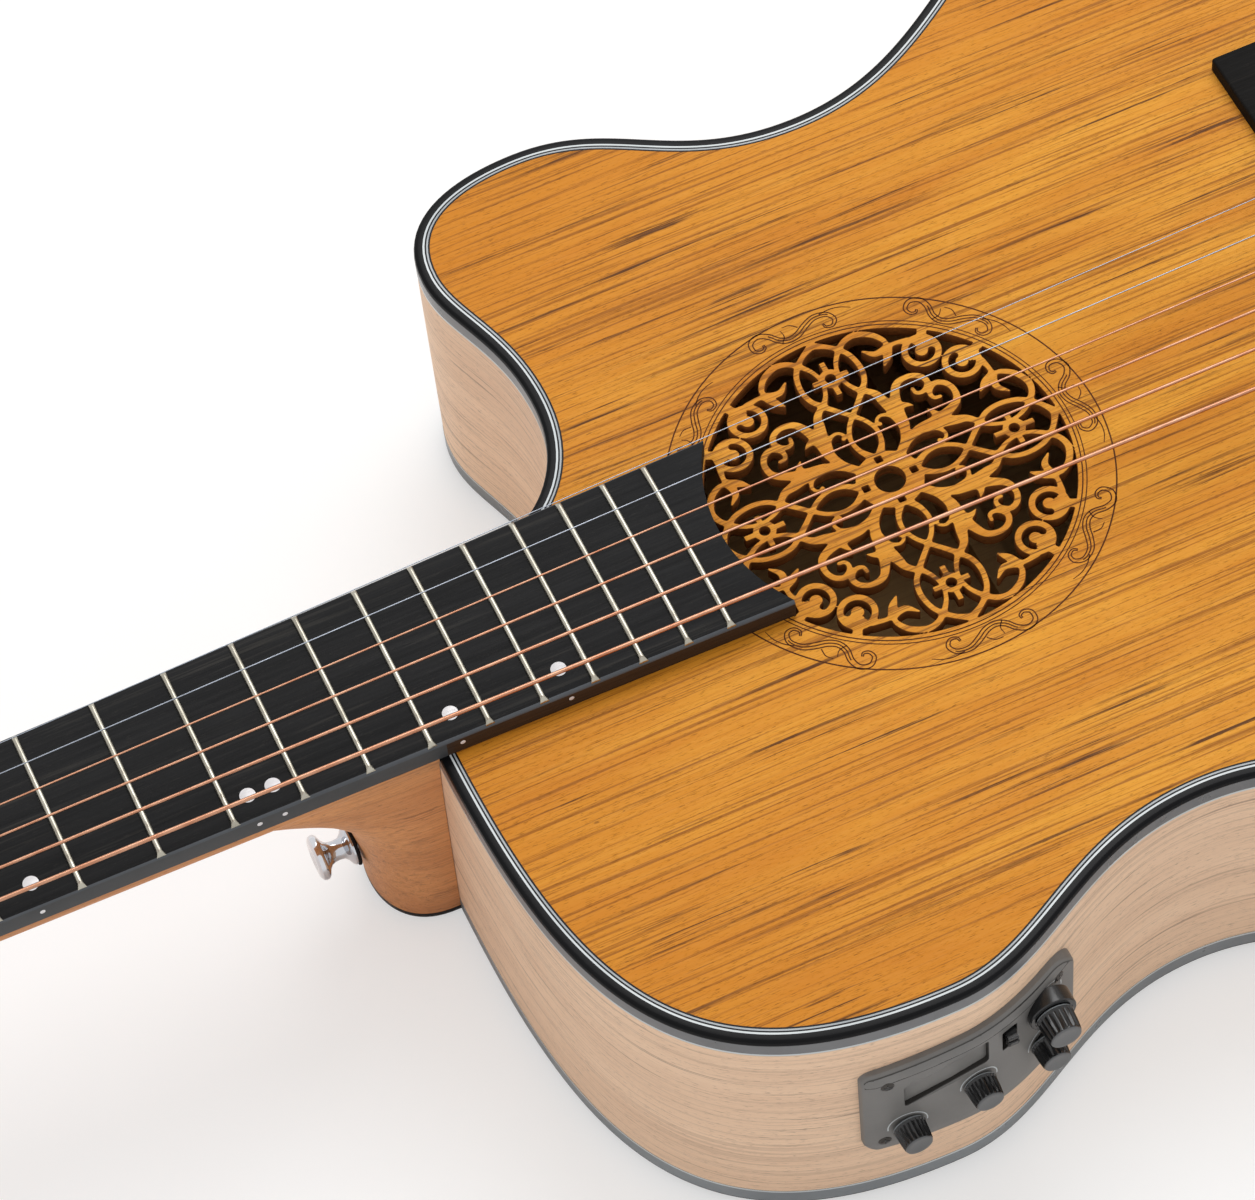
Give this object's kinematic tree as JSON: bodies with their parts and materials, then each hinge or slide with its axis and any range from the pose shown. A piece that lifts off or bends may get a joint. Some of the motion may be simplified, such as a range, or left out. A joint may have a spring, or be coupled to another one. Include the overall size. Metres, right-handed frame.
{
  "type": "acoustic-electric guitar",
  "caption": "Acoustic-electric steel-string guitar with a cutaway body, a carved scrollwork sound hole, a pin bridge, geared tuners and a preamp panel in the bass side.",
  "frame": {"origin": "centre of the back's flat rest face: midway between the body's front and tail, on the centre line", "axes": "+X along the neck from the nut towards the tail, +Y to the treble side, +Z out of the soundboard"},
  "size_m": [1.0607, 0.404, 0.1055],
  "materials": {
    "top_wood": "open-pore straight-grained amber wood with dark streaks",
    "side_wood": "satin pinkish-tan wood with grey-brown streaks",
    "neck_wood": "satin orange-brown wood",
    "inner_wood": "raw pale wood",
    "dark_wood": "near-black close-grained wood",
    "fingerboard_wood": "near-black matte wood with polished edges and pale metal frets",
    "binding": "black edge binding with thin white and black lines",
    "bone": "polished bone",
    "black_plastic": "black moulded plastic",
    "panel_plastic": "satin mid-grey panel with a dark edge",
    "chrome": "polished chrome plating",
    "string_steel": "plain bright steel wire",
    "string_bronze": "bronze wrap wire",
    "rod_steel": "plain steel"
  },
  "bodies": {
    "guitar": {"soundboard": "top_wood", "back": "side_wood", "bass_side": "side_wood", "treble_side": "side_wood", "top_binding": "binding", "back_binding": "binding", "neck_block": "inner_wood", "tail_block": "inner_wood", "top_bracing": "inner_wood", "bridge_plate": "inner_wood", "back_bracing": "inner_wood", "neck": "neck_wood", "heel_cap": "black_plastic", "fingerboard": "fingerboard_wood", "nut": "bone", "truss_rod": "rod_steel", "headstock_overlay": "dark_wood", "truss_rod_cover": "black_plastic", "bridge": "dark_wood", "saddle": "bone", "saddle_pickup": "rod_steel", "bridge_pin_1": "black_plastic", "bridge_pin_2": "black_plastic", "bridge_pin_3": "black_plastic", "bridge_pin_4": "black_plastic", "bridge_pin_5": "black_plastic", "bridge_pin_6": "black_plastic", "string_1": "string_steel", "string_2": "string_steel", "string_3": "string_bronze", "string_4": "string_bronze", "string_5": "string_bronze", "string_6": "string_bronze", "tuner_housing_1": "chrome", "tuner_housing_2": "chrome", "tuner_housing_3": "chrome", "tuner_housing_4": "chrome", "tuner_housing_5": "chrome", "tuner_housing_6": "chrome", "preamp_panel": "panel_plastic", "heel_strap_button": "chrome", "endpin_jack": "chrome"},
    "button_1": {"tuner_button_1": "chrome"},
    "button_2": {"tuner_button_2": "chrome"},
    "button_3": {"tuner_button_3": "chrome"},
    "button_4": {"tuner_button_4": "chrome"},
    "button_5": {"tuner_button_5": "chrome"},
    "button_6": {"tuner_button_6": "chrome"},
    "post_1": {"tuner_post_1": "chrome"},
    "post_2": {"tuner_post_2": "chrome"},
    "post_3": {"tuner_post_3": "chrome"},
    "post_4": {"tuner_post_4": "chrome"},
    "post_5": {"tuner_post_5": "chrome"},
    "post_6": {"tuner_post_6": "chrome"},
    "bass_control": {"bass_knob": "black_plastic"},
    "middle_control": {"middle_knob": "black_plastic"},
    "volume_control": {"volume_knob": "black_plastic"},
    "treble_control": {"treble_knob": "black_plastic"},
    "selector": {"preamp_switch": "black_plastic"}
  },
  "joints": [
    {"name": "button_1_turn", "type": "hinge", "parent": "guitar", "child": "button_1", "pos_m": [-0.65976, 0.04, 0.06101], "axis": [0, 1, 0], "continuous": true},
    {"name": "button_2_turn", "type": "hinge", "parent": "guitar", "child": "button_2", "pos_m": [-0.6976, 0.04, 0.05158], "axis": [0, 1, 0], "continuous": true},
    {"name": "button_3_turn", "type": "hinge", "parent": "guitar", "child": "button_3", "pos_m": [-0.73544, 0.04, 0.04214], "axis": [0, 1, 0], "continuous": true},
    {"name": "button_4_turn", "type": "hinge", "parent": "guitar", "child": "button_4", "pos_m": [-0.73544, -0.04, 0.04214], "axis": [0, -1, 0], "continuous": true},
    {"name": "button_5_turn", "type": "hinge", "parent": "guitar", "child": "button_5", "pos_m": [-0.6976, -0.04, 0.05158], "axis": [0, -1, 0], "continuous": true},
    {"name": "button_6_turn", "type": "hinge", "parent": "guitar", "child": "button_6", "pos_m": [-0.65976, -0.04, 0.06101], "axis": [0, -1, 0], "continuous": true},
    {"name": "post_1_turn", "type": "hinge", "parent": "guitar", "child": "post_1", "pos_m": [-0.65891, 0.022, 0.08034], "axis": [-0.2419, 0, 0.9703], "continuous": true},
    {"name": "post_2_turn", "type": "hinge", "parent": "guitar", "child": "post_2", "pos_m": [-0.69675, 0.0235, 0.0709], "axis": [-0.2419, 0, 0.9703], "continuous": true},
    {"name": "post_3_turn", "type": "hinge", "parent": "guitar", "child": "post_3", "pos_m": [-0.73459, 0.025, 0.06147], "axis": [-0.2419, 0, 0.9703], "continuous": true},
    {"name": "post_4_turn", "type": "hinge", "parent": "guitar", "child": "post_4", "pos_m": [-0.73459, -0.025, 0.06147], "axis": [-0.2419, 0, 0.9703], "continuous": true},
    {"name": "post_5_turn", "type": "hinge", "parent": "guitar", "child": "post_5", "pos_m": [-0.69675, -0.0235, 0.0709], "axis": [-0.2419, 0, 0.9703], "continuous": true},
    {"name": "post_6_turn", "type": "hinge", "parent": "guitar", "child": "post_6", "pos_m": [-0.65891, -0.022, 0.08034], "axis": [-0.2419, 0, 0.9703], "continuous": true},
    {"name": "bass_turn", "type": "hinge", "parent": "guitar", "child": "bass_control", "pos_m": [-0.1787, -0.15, 0.0405], "axis": [0, -1, 0], "range_deg": [-150, 150]},
    {"name": "middle_turn", "type": "hinge", "parent": "guitar", "child": "middle_control", "pos_m": [-0.1585, -0.15, 0.048], "axis": [0, -1, 0], "range_deg": [-150, 150]},
    {"name": "volume_turn", "type": "hinge", "parent": "guitar", "child": "volume_control", "pos_m": [-0.1363, -0.15, 0.0625], "axis": [0, -1, 0], "range_deg": [-150, 150]},
    {"name": "treble_turn", "type": "hinge", "parent": "guitar", "child": "treble_control", "pos_m": [-0.1371, -0.15, 0.0445], "axis": [0, -1, 0], "range_deg": [-150, 150]},
    {"name": "selector_slide", "type": "slide", "parent": "guitar", "child": "selector", "axis": [0, 0, -1], "range_m": [0, 0.003]}
  ],
  "couplings": [
    {"joint": "post_1_turn", "follows": "button_1_turn", "ratio": 0.055556},
    {"joint": "post_2_turn", "follows": "button_2_turn", "ratio": 0.055556},
    {"joint": "post_3_turn", "follows": "button_3_turn", "ratio": 0.055556},
    {"joint": "post_4_turn", "follows": "button_4_turn", "ratio": -0.055556},
    {"joint": "post_5_turn", "follows": "button_5_turn", "ratio": -0.055556},
    {"joint": "post_6_turn", "follows": "button_6_turn", "ratio": -0.055556}
  ]
}
